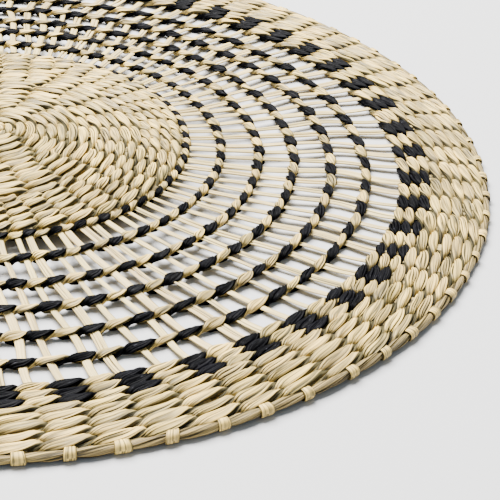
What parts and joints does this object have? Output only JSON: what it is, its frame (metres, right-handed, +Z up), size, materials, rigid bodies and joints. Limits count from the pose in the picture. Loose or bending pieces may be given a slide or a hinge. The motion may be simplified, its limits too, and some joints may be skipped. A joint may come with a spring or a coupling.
{
  "type": "placemat",
  "caption": "Round twined straw placemat with a dense centre, an openwork zone of radial straws, a dense border and a lashed rim, with dark dyed stitches in rings.",
  "frame": {"origin": "on the surface the mat lies on, under its middle", "axes": "+Z up, through the middle of the mat and square to it; +X and +Y lie in its plane"},
  "size_m": [0.38, 0.38, 0.007],
  "materials": {
    "straw": "matt dried straw with fine lengthwise fibres",
    "rim_straw": "matt dried straw, tanner than the weave"
  },
  "bodies": {
    "root": {"mat": "straw", "rim": "rim_straw"}
  },
  "joints": []
}
